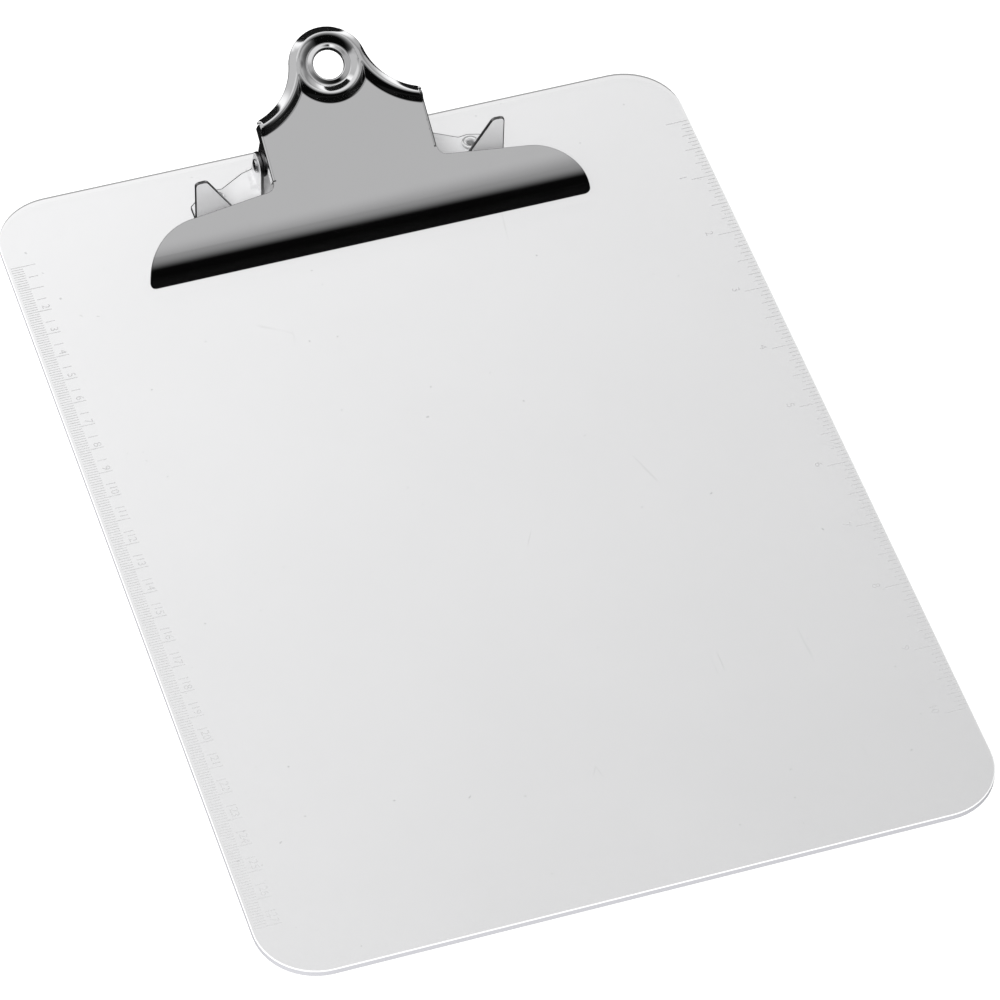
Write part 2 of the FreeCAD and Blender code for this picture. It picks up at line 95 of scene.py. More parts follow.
# ---- How closely the jaw plate is divided ------------------------------------------------
OUTLINE_STEP = 0.8
RING_HOLE_POINTS = 96
RING_STEP = 0.15
RING_POINTS = 240
RING_MARGIN = 0.9
RELIEF_STEP = 0.2
RELIEF_MARGIN = 0.5
SWEEP_LEAD = 0.1
SWEEP_STOP = -math.radians(108)
BEAD_END_SPAN = (1.7, 0.1)
BEAD_END_RUN = 5.0
BEAD_END_STEP = (0.16, 0.3)
BEND_COLUMNS = 10
BEND_STEP = 0.8
LIP_SAMPLES = 200
LIP_ROWS = 40
LIP_REACH = 72.0
FLAT_STEP = 3.0
FLAT_REACH = 70.0
FLAT_RISE = 4.0

# ---- Base plate --------------------------------------------------------------------------
# Its outlines are x, y and corner radius; a stop's y is its height above the board.
STOP_Y = 134.0
STOP_X = 51.5
BASE_HALF = (
    (31.5, 121.5, 2.5), (31.5, STOP_Y, 1.2), (STOP_X, STOP_Y, 0.5), (STOP_X, 140.4, 1.2),
    (46.6, 144.6, 1.2), (43.0, 145.6, 1.2), (39.8, 145.2, 1.2), (31.8, 149.9, 1.2),
    (27.0, 151.3, 1.2),
)
STOP = (
    (37.0, 0.1, 0), (STOP_X, 0.1, 0), (STOP_X, 17.7, 1.5), (47.6, 17.9, 1.8), (40.2, 5.4, 3.0),
    (38.4, 2.2, 1.5),
)
LUG_X = 27.5
LUG_RADIUS = 4.5
LUG_REAR = ((8.0, 0.6), (6.6, 3.0))
LUG_REAR_LEAN = math.atan2(2.2, 3.9)
RIVET = (42.7, 141.3)
RIVET_HOLE = 2.0
ROD_HOLE = 1.55
BASE_EDGE = (0.32, 0.1)

# ---- Spring ------------------------------------------------------------------------------
WIRE_RADIUS = 0.9
COIL_RADIUS = 3.5
COIL_PITCH = 1.86
COIL_TURNS = 4
COIL_X = 13.5
BRIDGE_Y = 153.0
BRIDGE_BEND = 2.6
LEG_END_Y = 150.0
ARM_OVERLAP = math.radians(50.0)
ARM_FIT = 0.99
WIRE_GAP = 0.05
COIL_POINTS = 130
OVERLAP_POINTS = 12
CORNER_POINTS = 14

# ---- Printed scales ----------------------------------------------------------------------
INCH = 25.4
INCHES = 10
CENTIMETRES = 27
SCALE_ZERO = 27.0
SCALE_INSET = 0.6
INCH_TICKS = (7.5, 5.2, 4.0, 3.2, 2.4)
CM_INSET = 1.1
CM_TICK = 8.1
CM_HALF = (4.6, 7.6)
CM_NUMERAL_X = 5.3
MM_TICK = 3.8
NUMERAL_SIZE = 3.6
NUMERAL_GAP = 0.6
TICK_WIDTH = 0.3
PRINT_HEIGHT = 0.02
PRINT_SINK = 0.01
PRINT_ALPHA = 0.3

# ---- Finish and studio -------------------------------------------------------------------
PLASTIC_TINT = (0.997, 0.997, 1.004)
PLASTIC_TONE = 0.65
PLASTIC_IOR = 1.05
RIM_OPACITY = 0.75
# Depths below the board's top that bound the painted grey shade line along the rear cut side.
REAR_SHADE_LINE = (1.05, 0.9)
FLOOR_HALF = 4.0
FLOOR_Z = -0.0003
FLOOR_GLOW = (0.84, 1.31)
FLOOR_FALL = (-1.0, 1.0, 0.0)
FLOOR_SPAN = 0.3
FLOOR_IN_MIRROR = 0.005
SKY_SOFT = 0.7
SKY_GAP = 0.14
BACKDROP = 1.05
KEY_ENERGY = 60.0
KEY_SIZE = 1.6
KEY_PLACE = (-0.9, -1.5, 2.1)
CAMERA_AZIMUTH = 19.753
CAMERA_ELEVATION = 49.589
CAMERA_ROLL = 2.158
CAMERA_DISTANCE = 1.84814
CAMERA_LENS = 216.97
CAMERA_AIM = (5.149, -4.280, 0.0)


def vec(*values):
    """Point or direction as an array of floats."""
    return np.array(values, float)


def unit(v):
    """The same direction with length 1."""
    return v / np.linalg.norm(v)


def smoothstep(low, high, value):
    """0 below low, 1 above high, and smooth between them."""
    t = np.clip((value - low) / (high - low), 0.0, 1.0)
    return t * t * (3 - 2 * t)


board_low, board_high = (np.array(corner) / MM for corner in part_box("board"))
JAW_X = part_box("jaw_plate")[1][0] / MM
BOARD_TOP = board_high[2]
BASE_TOP = BOARD_TOP + SHEET
PIVOT = vec(*frame["joints"][0]["pos_m"]) / MM

# The plate's own directions: across, up the slope, and out of its face.
bore = next(mount for mount in frame["record"]["mounts"] if mount["name"] == "hanging_hole")
ACROSS = vec(1, 0, 0)
OUT = unit(vec(*bore["axis"]))
UP = np.cross(OUT, ACROSS)
bore_middle = (bore["dims"]["length_mm"] / 2) - SHEET
PLATE = vec(*bore["pos_m"]) / MM - OUT * bore_middle - UP * RING_S
PLATE_ANGLE = math.atan2(UP[2], UP[1])
LIP_END = LIP_START - LIP_LENGTH
EASE_RADIUS = LIP_EASE / EASE_TURN
pivot_s = float((PIVOT - PLATE) @ UP)
pivot_h = float((PIVOT - PLATE) @ OUT)
BEND_U = NECK_X - BEND
BEND_LENGTH = BEND * math.pi / 2
FLANGE_U = BEND_U + BEND_LENGTH + FLANGE_DEPTH - BEND
EAR_U = BEND_U + BEND_LENGTH - BEND - pivot_h


# ---- Outlines ----------------------------------------------------------------------------
def resampled(points, step=1.0, closed=True):
    """The same outline with no gap longer than step."""
    points = [vec(*p) for p in points]
    following = points[1:] + points[:1] if closed else points[1:]
    dense = []
    for a, b in zip(points, following):
        count = max(1, math.ceil(np.linalg.norm(b - a) / step))
        dense += [a + (b - a) * k / count for k in range(count)]
    return dense if closed else dense + [points[-1]]


def arc(centre, radius, start, end, step=0.35):
    """Points along an arc, angles in radians."""
    count = max(3, math.ceil(abs(end - start) * radius / step))
    angles = np.linspace(start, end, count + 1)
    return [vec(centre[0] + radius * math.cos(a), centre[1] + radius * math.sin(a)) for a in angles]


def fillet(before, corner, after, radius, step=0.3):
    """Arc that rounds a corner between two straight runs."""
    before, corner, after = vec(*before), vec(*corner), vec(*after)
    a, b = unit(before - corner), unit(after - corner)
    half = math.acos(float(np.clip(a @ b, -1, 1))) / 2
    centre = corner + unit(a + b) * radius / math.sin(half)
    tangent_a = corner + a * radius / math.tan(half)
    tangent_b = corner + b * radius / math.tan(half)
    start = math.atan2(*(tangent_a - centre)[::-1])
    sweep = math.atan2(*(tangent_b - centre)[::-1]) - start
    sweep = (sweep + math.pi) % (2 * math.pi) - math.pi
    return arc(centre, radius, start, start + sweep, step)


def rounded_outline(corners):
    """Closed outline from (x, y, radius) corners."""
    points = []
    count = len(corners)
    for k, (x, y, radius) in enumerate(corners):
        before, after = corners[k - 1][:2], corners[(k + 1) % count][:2]
        points += fillet(before, (x, y), after, radius) if radius else [vec(x, y)]
    return resampled(points)


def circle(centre, radius, count=32):
    """Closed loop of evenly spaced points."""
    return arc(centre, radius, 0, 2 * math.pi, 2 * math.pi * radius / count)[:-1]


def signed_area(points):
    """Area inside a loop; positive if it runs counterclockwise."""
    p = np.array(points)
    q = np.roll(p, -1, axis=0)
    return float((p[:, 0] * q[:, 1] - q[:, 0] * p[:, 1]).sum() / 2)


def turned(points, counterclockwise):
    """The loop, reversed if it runs the wrong way."""
    return points if (signed_area(points) > 0) == counterclockwise else points[::-1]


def outward_normals(loop):
    """Unit normals on the empty side; material lies on the loop's left."""
    p = np.array(loop)
    along = np.roll(p, -1, axis=0) - np.roll(p, 1, axis=0)
    along /= np.linalg.norm(along, axis=1)[:, None]
    return np.column_stack([along[:, 1], -along[:, 0]])


def inside(loops, points):
    """Which points lie in the material that the loops bound."""
    result = np.zeros(len(points), bool)
    for loop in loops:
        p = np.array(loop)
        q = np.roll(p, -1, axis=0)
        for a, b in zip(p, q):
            crosses = (a[1] > points[:, 1]) != (b[1] > points[:, 1])
            rise = b[1] - a[1] if b[1] != a[1] else 1.0
            x = a[0] + (points[:, 1] - a[1]) / rise * (b[0] - a[0])
            result ^= crosses & (points[:, 0] < x)
    return result


def clear_of(loops, points, gap, batch=2000):
    """Which points keep a gap from every loop point, worked out in batches to save memory."""
    edge = np.vstack([np.array(loop) for loop in loops])
    keep = np.ones(len(points), bool)
    for start in range(0, len(points), batch):
        part = points[start:start + batch]
        near = np.linalg.norm(part[:, None] - edge[None], axis=2).min(1)
        keep[start:start + batch] = near > gap
    return keep


# ---- Meshes ------------------------------------------------------------------------------
def mesh_object(name, points, faces, normals=None):
    """Object from points in millimetres; normals, if given, are one per face corner."""
    mesh = bpy.data.meshes.new(name)
    mesh.from_pydata((np.array(points) * MM).tolist(), [], faces)
    mesh.polygons.foreach_set("use_smooth", [True] * len(mesh.polygons))
    if normals is not None:
        mesh.normals_split_custom_set(normals)
    mesh.validate()
    mesh.update()
    made = bpy.data.objects.new(name, mesh)
    bpy.context.scene.collection.objects.link(made)
    return made


class Solid:
    """Collects closed parts, with a normal for each point, into one mesh."""

    def __init__(self):
        self.points, self.normals, self.faces, self.cut_faces = [], [], [], []

    def add(self, points, normals, faces):
        base = len(self.points)
        self.points += [list(p) for p in points]
        self.normals += [list(unit(n)) for n in normals]
        self.faces += [[base + i for i in face] for face in faces]

    def finish(self, name):
        """One object; faces of cut edges take its second material."""
        faces = self.faces + self.cut_faces
        made = mesh_object(name, self.points, faces, [self.normals[i] for f in faces for i in f])
        slots = [0] * len(self.faces) + [1] * len(self.cut_faces)
        made.data.polygons.foreach_set("material_index", slots)
        return made


def surface_normal(surface, u, v, step=0.02):
    """Normal of a surface at u, v, from the points around it."""
    along_u = surface(u + step, v)[0] - surface(u - step, v)[0]
    along_v = surface(u, v + step)[0] - surface(u, v - step)[0]
    return unit(np.cross(along_u, along_v))


def add_sheet(solid, loops, surface, thickness, extra=(), edge=CUT_EDGE):
    """Sheet of even thickness over the outline, with eased cut edges.

    surface(u, v) gives a point of the upper face and the sheet's own direction there;
    edge is how far in and how deep the easing goes."""
    edge_width, edge_depth = edge
    loops = [turned(loop, k == 0) for k, loop in enumerate(loops)]
    normals = [outward_normals(loop) for loop in loops]
    inner = [list(np.array(loop) - normal * edge_width) for loop, normal in zip(loops, normals)]
    extra = np.array(extra, float).reshape(-1, 2)
    if len(extra):
        extra = extra[inside(inner, extra)]
        extra = extra[clear_of(inner, extra, edge_width)]
    # Triangles over the outline, less the width of its eased edge.
    flat = [Vector(p) for loop in inner for p in loop]
    rim_count = len(flat)
    flat += [Vector(p) for p in extra]
    rims, first = [], 0
    for loop in inner:
        ids = list(range(first, first + len(loop)))
        rims.append(ids)
        first += len(loop)
    edges = [(a, b) for ids in rims for a, b in zip(ids, ids[1:] + ids[:1])]
    verts, _, faces, origins, _, _ = delaunay_2d_cdt(flat, edges, [], 1, 1e-5)
    verts = np.array([tuple(p) for p in verts])
    middles = np.array([verts[list(face)].mean(0) for face in faces])
    faces = [list(face) for face, kept in zip(faces, inside(inner, middles)) if kept]
    place = {origin: new for new, olds in enumerate(origins) for origin in olds}
    if len(place) < rim_count:
        raise ValueError("an outline point was lost")

    # The upper and the lower face.
    upper = [surface(u, v) for u, v in verts]
    upper_normals = [surface_normal(surface, u, v) for u, v in verts]
    solid.add([p for p, _ in upper], upper_normals, faces)
    base = len(solid.points)
    solid.add([p - thickness * n for p, n in upper], [-n for n in upper_normals],
              [face[::-1] for face in faces])
    upper_base = base - len(verts)
    # The cut edge: a wall, with a narrow easing to each face.
    for loop, inset, ids in zip(loops, inner, rims):
        outer = [surface(u, v) for u, v in loop]
        inward = [surface(u, v)[0] for u, v in inset]
        facing = []
        for (p, n), q in zip(outer, inward):
            away = p - q
            facing.append(unit(away - n * (away @ n)))
        start = len(solid.points)
        count = len(loop)
        solid.points += [list(p - edge_depth * n) for p, n in outer]
        solid.points += [list(p - (thickness - edge_depth) * n) for p, n in outer]
        solid.normals += [list(n) for n in facing] * 2
        for k in range(count):
            j = (k + 1) % count
            top_k, top_j = upper_base + place[ids[k]], upper_base + place[ids[j]]
            low_k, low_j = base + place[ids[k]], base + place[ids[j]]
            wall_k, wall_j = start + k, start + j
            solid.cut_faces += [
                [top_k, wall_k, wall_j, top_j],
                [wall_k, wall_k + count, wall_j + count, wall_j],
                [wall_k + count, low_k, low_j, wall_j + count],
            ]


def tube(solid, path, radius, sides=20, dome=(0.45, 0.9, 1.3)):
    """Round wire along a path; dome gives the angles of the rings that round off its ends."""
    path = [vec(*p) for p in path]
    ahead = [unit(b - a) for a, b in zip(path, path[1:])]
    along = [ahead[0]] + [unit(a + b) for a, b in zip(ahead, ahead[1:])] + [ahead[-1]]
    # Any direction that no wire starts along gives a first sideways direction.
    side = unit(np.cross(along[0], vec(0.3, 0.5, 0.81)))
    rings, normals = [], []

    def ring(centre, direction, size, lean):
        across = np.cross(direction, side)
        for k in range(sides):
            angle = 2 * math.pi * k / sides
            spoke = side * math.cos(angle) + across * math.sin(angle)
            rings.append(centre + spoke * size)
            normals.append(spoke * math.cos(lean) + direction * math.sin(lean))

    for k, (point, direction) in enumerate(zip(path, along)):
        side = unit(side - direction * (side @ direction))
        if k == 0:
            for lean in dome[::-1]:
                ring(point - direction * radius * math.sin(lean), direction,
                     radius * math.cos(lean), -lean)
        ring(point, direction, radius, 0)
        if k == len(path) - 1:
            for lean in dome:
                ring(point + direction * radius * math.sin(lean), direction,
                     radius * math.cos(lean), lean)
    count = len(rings) // sides
    faces = [
        [r * sides + k, r * sides + (k + 1) % sides,
         (r + 1) * sides + (k + 1) % sides, (r + 1) * sides + k]
        for r in range(count - 1) for k in range(sides)
    ]
    faces.append(list(range(sides))[::-1])
    faces.append([(count - 1) * sides + k for k in range(sides)])
    solid.add(rings, normals, faces)


# ---- Jaw plate ---------------------------------------------------------------------------
def sweep_centre():
    """Centre of the neck's right-hand curve: it touches the ring and meets the neck's corner."""
    reach = RING_RADIUS + SWEEP_RADIUS
    to_corner = vec(NECK_TOP[0], NECK_TOP[1] - RING_S)
    span = float(np.linalg.norm(to_corner))
    along = (reach ** 2 - SWEEP_RADIUS ** 2 + span ** 2) / (2 * span)
    across = math.sqrt(reach ** 2 - along ** 2)
    ahead = to_corner / span
    return vec(0, RING_S) + ahead * along + vec(-ahead[1], ahead[0]) * across


SWEEP = sweep_centre()
TOUCH = math.atan2(SWEEP[1] - RING_S, SWEEP[0])


def bead_side(distance, open_edge, fall=BEAD_SLOPE):
    """Bead height by distance in from its outer foot; an open edge of 1 has no fillet there."""
    away = distance - BEAD_CREST
    slope = fall if away > 0 else BEAD_SLOPE
    height = BEAD_HEIGHT - slope * (math.hypot(away, CREST_ROUND) - CREST_ROUND)
    eased = height if height > FOOT_ROUND else max(0.0, height + FOOT_ROUND) ** 2 / (4 * FOOT_ROUND)
    return eased + (height - eased) * open_edge if 0 < distance < BEAD_CREST else eased


def joined(a, b, blend=0.5):
    """The higher of two heights, with a small fillet where they meet."""
    near = max(0.0, blend - abs(a - b)) / blend
    shared = min(1.0, min(a, b) / blend)
    return max(a, b) + near * near * shared * blend / 4


def relief(u, s):
    """Height of the pressed beads and of the hole's collar above the flat plate."""
    a = abs(u)
    if s < FLANGE_START:
        return 0.0
    # The ring's bead, open where its outer side is the plate's own edge.
    r = math.hypot(u, s - RING_S)
    above = math.atan2(s - RING_S, a) - TOUCH
    ring = bead_side(RING_RADIUS - r, float(smoothstep(-RING_OPEN, RING_OPEN, above)), RING_FALL)
    # The collar round the hole, with a rounded rim.
    if r < COLLAR_FOOT:
        slope = (COLLAR_FOOT - r) / (COLLAR_FOOT - HOLE_RADIUS - COLLAR_RIM)
        over = max(0.0, (HOLE_RADIUS + COLLAR_RIM - r) / COLLAR_RIM)
        rim = COLLAR_RIM * (1 - math.sqrt(max(0.0, 1 - min(1.0, over) ** 2)))
        ring = joined(ring, COLLAR_HEIGHT * min(1.0, slope)) - rim
    # The bead along the neck's curve, which fades out past the ring and at the neck's side.
    from_sweep = vec(a - SWEEP[0], s - SWEEP[1])
    distance = float(np.linalg.norm(from_sweep)) - SWEEP_RADIUS
    sweep = 0.0
    if 0 < distance < BEAD_FOOT:
        past = math.atan2(from_sweep[1], -from_sweep[0]) + TOUCH
        fade = 1 - float(smoothstep(0.0, BEAD_FADE, past))
        end = 1 - float(smoothstep(NECK_X - BEAD_END[0], NECK_X - BEAD_END[1], a))
        sweep = bead_side(distance, 1.0) * fade * math.sqrt(end)
    return min(BEAD_HEIGHT, joined(ring, sweep))


def lip_path(distance):
    """How far the bend has come along and below the plate, and its turn: gentle first, then tight."""
    turn = min(distance, LIP_EASE) / EASE_RADIUS
    along = EASE_RADIUS * math.sin(turn)
    drop = EASE_RADIUS * (1 - math.cos(turn))
    if distance > LIP_EASE:
        start, turn = turn, turn + (distance - LIP_EASE) / LIP_RADIUS
        along += LIP_RADIUS * (math.sin(turn) - math.sin(start))
        drop += LIP_RADIUS * (math.cos(start) - math.cos(turn))
    return along, drop, turn


def jaw_surface(u, s):
    """Upper face of the bent sheet, and the direction that it faces before pressing."""
    side = ACROSS if u > 0 else -ACROSS
    past_bend = abs(u) - BEND_U
    if past_bend > 0 and FLANGE_START - NOTCH / 2 < s < FLANGE_END + NOTCH / 2:
        turn = min(past_bend / BEND, math.pi / 2)
        straight = max(0.0, past_bend - BEND_LENGTH)
        facing = side * math.sin(turn) + OUT * math.cos(turn)
        point = PLATE + side * (BEND_U + BEND * math.sin(turn)) + UP * s
        point = point - OUT * (BEND * (1 - math.cos(turn)) + straight)
    elif s < LIP_START:
        along, drop, turn = lip_path(LIP_START - s)
        facing = OUT * math.cos(turn) - UP * math.sin(turn)
        point = PLATE + ACROSS * u + UP * (LIP_START - along) - OUT * drop
    else:
        facing = OUT
        point = PLATE + ACROSS * u + UP * s
    return point + facing * relief(u, s), facing


def mirrored_outline(half):
    """Whole outline from its right half, which runs from the centre line to the centre line."""
    other = [vec(-p[0], p[1]) for p in half[::-1] if abs(p[0]) > 0.01]
    return list(half) + other


def unrolled(s):
    """Place along the sheet of a point of the lip that is s along the plate."""
    distances = np.linspace(0, LIP_LENGTH, LIP_SAMPLES)
    reached = [lip_path(d)[0] for d in distances]
    return LIP_START - float(np.interp(LIP_START - s, reached, distances)) if s < LIP_START else s


def jaw_outline():
    """Outline of the unrolled sheet: lip, shoulders, neck with folded tabs, curves and ring."""
    lean = SHOULDER_SLOPE
    radius = (JAW_X - SHOULDER[0]) / (1 - math.sin(lean))
    centre = vec(*SHOULDER) - vec(math.sin(lean), math.cos(lean)) * radius
    side = arc(centre, radius, SHOULDER_START, math.pi / 2 - lean)
    side = [vec(u, unrolled(s)) for u, s in side]
    low_x = side[0][0]
    neck_foot = (NECK_X, SHOULDER[1] + (SHOULDER[0] - NECK_X) * math.tan(lean))
    ear_low, ear_high = pivot_s - EAR_RADIUS, pivot_s + EAR_RADIUS
    corner = (NECK_TOP[0] + NECK_CORNER[0], NECK_TOP[1] - NECK_CORNER[1])
    tab = [
        (NECK_X, FLANGE_START - NOTCH), (BEND_U, FLANGE_START - NOTCH), (BEND_U, FLANGE_START),
        (FLANGE_U, FLANGE_START), (FLANGE_U, ear_low - EAR_SPREAD), (EAR_U, ear_low),
        *arc((EAR_U, pivot_s), EAR_RADIUS, -math.pi / 2, math.pi / 2)[1:-1],
        (EAR_U, ear_high), (FLANGE_U, ear_high + EAR_SPREAD), (FLANGE_U, FLANGE_END),
        (BEND_U, FLANGE_END), (BEND_U, FLANGE_END + NOTCH), (NECK_X, FLANGE_END + NOTCH),
        (NECK_X, corner[1] - NECK_CORNER_DROP), corner,
    ]
    to_corner = math.atan2(NECK_TOP[1] - SWEEP[1], NECK_TOP[0] - SWEEP[0])
    half = [
        (0, LIP_END),
        *fillet((0, LIP_END), (low_x, LIP_END), side[0], LIP_CORNER),
        *side,
        *fillet(SHOULDER, neck_foot, tab[0], RELIEF_RADIUS),
        *tab,
        *arc(SWEEP, SWEEP_RADIUS, to_corner, -math.pi + TOUCH)[:-1],
        *arc((0, RING_S), RING_RADIUS, TOUCH, math.pi / 2),
    ]
    return mirrored_outline([vec(*p) for p in resampled(half, OUTLINE_STEP, closed=False)])


def jaw_grid():
    """Points inside the outline, close together where the plate is pressed or bent."""
    points = []
    # The ring's bead and the collar.
    ring_end = RING_RADIUS + RING_MARGIN
    for r in np.arange(HOLE_RADIUS + RING_STEP, ring_end, RING_STEP):
        points += circle((0, RING_S), r, RING_POINTS)
    # The beads along the neck's curves, and where they run out at its sides.
    for d in np.arange(RELIEF_STEP, BEAD_FOOT + RELIEF_MARGIN, RELIEF_STEP):
        run = arc(SWEEP, SWEEP_RADIUS + d, -math.pi + TOUCH - SWEEP_LEAD, SWEEP_STOP)
        points += [p for p in run if math.hypot(p[0], p[1] - RING_S) > ring_end]
    columns = np.arange(NECK_X - BEAD_END_SPAN[0], NECK_X - BEAD_END_SPAN[1], BEAD_END_STEP[0])
    for s in np.arange(FLANGE_END - BEAD_END_RUN, NECK_TOP[1], BEAD_END_STEP[1]):
        points += [vec(u, s) for u in columns]
    # The bends of the side flanges.
    for u in np.linspace(BEND_U, BEND_U + BEND_LENGTH, BEND_COLUMNS):
        points += [vec(u, s) for s in np.arange(FLANGE_START + 0.5, FLANGE_END, BEND_STEP)]
    points = [p for p in points if p[0] > 0] + [vec(-p[0], p[1]) for p in points if p[0] > 0]
    # The rolled lip, then the flat field.
    for distance in np.linspace(0, LIP_LENGTH, LIP_ROWS):
        points += [vec(u, LIP_START - distance) for u in np.arange(-LIP_REACH, LIP_REACH + 1, FLAT_STEP)]
    for s in np.arange(LIP_START + FLAT_STEP / 2, FLANGE_END, FLAT_STEP):
        row = np.arange(-FLAT_REACH, FLAT_REACH + 1, FLAT_STEP)
        points += [vec(u, s) for u in row if abs(u) < NECK_X or s < SHOULDER[1] + FLAT_RISE]
    return points


def make_jaw_plate():
    """One bent sheet with the hanging hole and the rod's holes in its ears."""
    solid = Solid()
    loops = [
        jaw_outline(),
        circle((0, RING_S), HOLE_RADIUS, RING_HOLE_POINTS),
        circle((EAR_U, pivot_s), ROD_HOLE),
        circle((-EAR_U, pivot_s), ROD_HOLE),
    ]
    add_sheet(solid, loops, jaw_surface, SHEET, jaw_grid())
    return solid.finish("jaw_plate_formed")


# ---- Base plate --------------------------------------------------------------------------
def make_base_plate():
    """Flat sheet under the clip with two upright paper stops and two lugs for the rod."""
    solid = Solid()
    outline = rounded_outline(list(BASE_HALF) + [(-x, y, r) for x, y, r in BASE_HALF[::-1]])
    holes = [circle((side * RIVET[0], RIVET[1]), RIVET_HOLE) for side in (-1, 1)]

    def flat(x, y):
        return vec(x, y, BASE_TOP), vec(0, 0, 1)

    def front(x, z):
        return vec(x, STOP_Y, BOARD_TOP + z), vec(0, -1, 0)

    add_sheet(solid, [outline] + holes, flat, SHEET, edge=BASE_EDGE)
    y, z = PIVOT[1], PIVOT[2]
    lug = [
        (y - LUG_RADIUS, BOARD_TOP + LUG_REAR[0][1]),
        *[(y + behind, BOARD_TOP + height) for behind, height in LUG_REAR],
        *arc((y, z), LUG_RADIUS, LUG_REAR_LEAN, math.pi),
    ]
    lug_loops = [resampled(lug), circle((y, z), ROD_HOLE)]
    for side in (-1, 1):
        stop = rounded_outline([(side * x, h, r) for x, h, r in STOP])
        add_sheet(solid, [stop], front, SHEET, edge=BASE_EDGE)

        def outer(u, h, side=side):
            return vec(side * (LUG_X + SHEET), side * u, h), vec(side, 0, 0)

        loops = [[vec(side * p[0], p[1]) for p in loop] for loop in lug_loops]
        add_sheet(solid, loops, outer, SHEET, edge=BASE_EDGE)
    return solid.finish("base_plate_formed")


# ---- Torsion spring ----------------------------------------------------------------------
def tangent_angle(y, z, side):
    """Where a straight run from a point touches the coil, as an angle round the pivot."""
    to = vec(y, z) - PIVOT[1:]
    return math.atan2(to[1], to[0]) + side * math.acos(COIL_RADIUS / np.linalg.norm(to))


def coil_point(x, angle):
    """Point of the coil's middle line."""
    return PIVOT + vec(x, COIL_RADIUS * math.cos(angle), COIL_RADIUS * math.sin(angle))


def bend_points(before, corner, after, radius):
    """Points along the arc that rounds one corner of a wire."""
    a, b = unit(before - corner), unit(after - corner)
    half = math.acos(float(a @ b)) / 2
    centre = corner + unit(a + b) * radius / math.sin(half)
    first = corner + a * radius / math.tan(half) - centre
    across = unit(np.cross(np.cross(first, corner - centre), first)) * radius
    angles = np.linspace(0, math.pi - 2 * half, CORNER_POINTS)
    return [centre + first * math.cos(t) + across * math.sin(t) for t in angles]


def make_spring():
    """Two coils that stay with the rod, and the arms with the bar that lifts the neck."""
    reach = WIRE_RADIUS + WIRE_GAP
    slope = math.tan(PLATE_ANGLE)
    under = PLATE[2] + (BRIDGE_Y - PLATE[1]) * slope - (SHEET + reach) / math.cos(PLATE_ANGLE)
    # The bar lies just under the plate, and each leg ends just above the base plate.
    knee = vec(COIL_X, BRIDGE_Y, under)
    toe = vec(0, LEG_END_Y, BASE_TOP + reach)
    # The coil runs from where the arm touches it to where the leg leaves it.
    start = tangent_angle(knee[1], knee[2], 1)
    end = tangent_angle(toe[1], toe[2], -1)
    end += 2 * math.pi * (COIL_TURNS + math.ceil((start - end) / (2 * math.pi)))
    pitch = COIL_PITCH / (2 * math.pi)
    toe[0] = COIL_X + (end - start) * pitch
    angles = np.linspace(start, end, COIL_POINTS)
    coil = [coil_point(COIL_X + (a - start) * pitch, a) for a in angles] + [toe]
    # The arms start inside the coils' wire, so that no gap shows.
    lap = [coil_point(COIL_X + (a - start) * pitch, a)
           for a in np.linspace(start + ARM_OVERLAP, start, OVERLAP_POINTS)]
    flip = vec(-1, 1, 1)
    arms = lap + bend_points(lap[-1], knee, knee * flip, BRIDGE_BEND)
    arms += [p * flip for p in arms[::-1]]
    coils = []
    for name, side in (("spring_coil_right", vec(1, 1, 1)), ("spring_coil_left", flip)):
        solid = Solid()
        tube(solid, [p * side for p in coil], WIRE_RADIUS)
        coils.append(solid.finish(name))
    solid = Solid()
    tube(solid, arms, WIRE_RADIUS * ARM_FIT)
    return coils, solid.finish("spring_arms")


# ---- Printed scales ----------------------------------------------------------------------
class Print:
    """Thin raised marks on the board's upper face."""

    def __init__(self):
        self.points, self.faces = [], []

    def bar(self, x0, x1, y, width):
        """A mark across the board."""
        low, high = BOARD_TOP - PRINT_SINK, BOARD_TOP + PRINT_HEIGHT
        base = len(self.points)
        for z in (low, high):
            self.points += [(x0, y - width / 2, z), (x1, y - width / 2, z),
                            (x1, y + width / 2, z), (x0, y + width / 2, z)]
        quads = [(3, 2, 1, 0), (4, 5, 6, 7), (0, 1, 5, 4), (1, 2, 6, 5), (2, 3, 7, 6), (3, 0, 4, 7)]
        self.faces += [[base + i for i in quad] for quad in quads]

    def number(self, value, x, y, size):
        """A numeral that reads towards -Y and ends at y."""
        curve = bpy.data.curves.new("numeral", "FONT")
        curve.body = str(value)
        curve.size = size
        curve.align_x = "RIGHT"
        curve.extrude = PRINT_HEIGHT / 2
        writer = bpy.data.objects.new("numeral", curve)
        mesh = bpy.data.meshes.new_from_object(writer)
        base = len(self.points)
        lift = BOARD_TOP + (PRINT_HEIGHT - PRINT_SINK) / 2
        self.points += [(x + p.co.y, y - p.co.x, lift + p.co.z) for p in mesh.vertices]
        self.faces += [[base + i for i in face.vertices] for face in mesh.polygons]
        bpy.data.objects.remove(writer)
        bpy.data.curves.remove(curve)
        bpy.data.meshes.remove(mesh)

    def finish(self, name):
        made = mesh_object(name, self.points, self.faces)
        made.data.polygons.foreach_set("use_smooth", [False] * len(self.faces))
        return made


def make_inch_scale():
    """Sixteenths of an inch from the right edge inwards."""
    marks = Print()
    edge = board_high[0] - SCALE_INSET
    zero = board_high[1] - SCALE_ZERO
    for k in range(INCHES * 16 + 1):
        rank = next(n for n, part in enumerate((16, 8, 4, 2, 1)) if k % part == 0)
        y = zero - k * INCH / 16
        marks.bar(edge - INCH_TICKS[rank], edge, y, TICK_WIDTH)
        if k and k % 16 == 0:
            marks.number(k // 16, edge - INCH_TICKS[0] - NUMERAL_SIZE, y + NUMERAL_GAP, NUMERAL_SIZE)
    return marks.finish("inch_scale")


